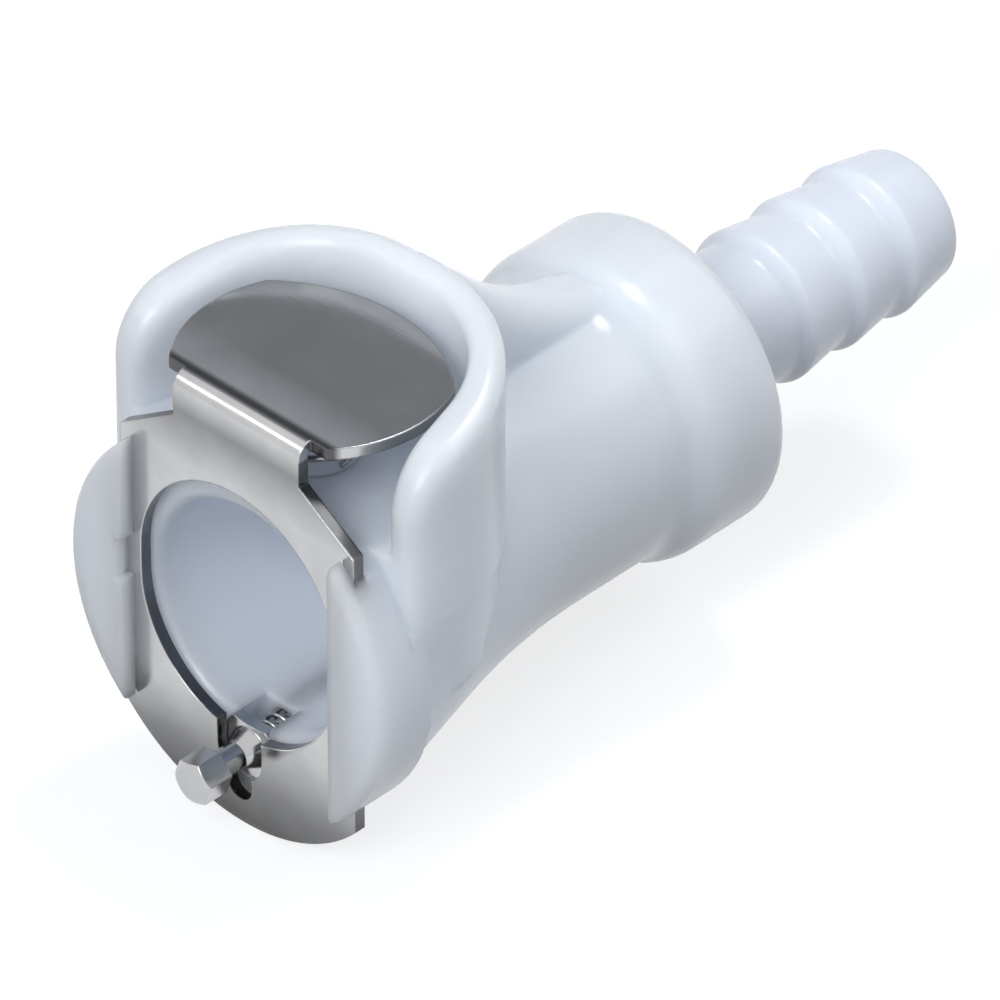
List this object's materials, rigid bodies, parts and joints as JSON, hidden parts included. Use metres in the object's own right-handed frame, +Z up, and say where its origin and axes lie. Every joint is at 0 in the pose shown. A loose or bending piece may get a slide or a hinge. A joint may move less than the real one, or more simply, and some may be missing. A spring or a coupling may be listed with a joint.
{
  "type": "plastic quick disconnect coupling",
  "caption": "Female half of a plastic quick disconnect coupling: a white body with a steel thumb latch, a trigger pin, a sprung shut-off valve and a hose barb.",
  "frame": {"origin": "on the bore's axis where the straight wall of the bore begins, just behind the lead-in at its mouth", "axes": "+Y along the axis from the mouth to the hose, +Z up to the thumb tab, +X to the right seen from the mouth"},
  "size_m": [0.026, 0.0624, 0.0334],
  "materials": {
    "acetal": "natural white, semi-gloss",
    "stainless_sheet": "satin",
    "stainless_pin": "satin",
    "spring_wire": "satin",
    "seal_rubber": "matt"
  },
  "bodies": {
    "body": {"housing": "acetal", "hose_barb": "acetal", "barb_seal": "seal_rubber", "latch_spring": "spring_wire", "pin_spring": "spring_wire", "valve_spring": "spring_wire"},
    "latch": {"thumb_latch": "stainless_sheet"},
    "pin": {"latch_pin": "stainless_pin"},
    "valve": {"valve_poppet": "acetal", "valve_seal": "seal_rubber"}
  },
  "joints": [
    {"name": "latch_lift", "type": "slide", "parent": "body", "child": "latch", "axis": [0, 0, 1], "range_m": [0, 0.0023], "stiffness_N_per_m": 800, "deforming": ["latch_spring"]},
    {"name": "pin_push", "type": "slide", "parent": "body", "child": "pin", "axis": [0, 1, 0], "range_m": [0, 0.002], "stiffness_N_per_m": 400, "deforming": ["pin_spring"]},
    {"name": "valve_open", "type": "slide", "parent": "body", "child": "valve", "axis": [0, 1, 0], "range_m": [0, 0.0024], "stiffness_N_per_m": 600, "deforming": ["valve_spring"]}
  ],
  "couplings": [
    {"joint": "pin_push", "follows": "latch_lift", "ratio": 0.8695}
  ]
}
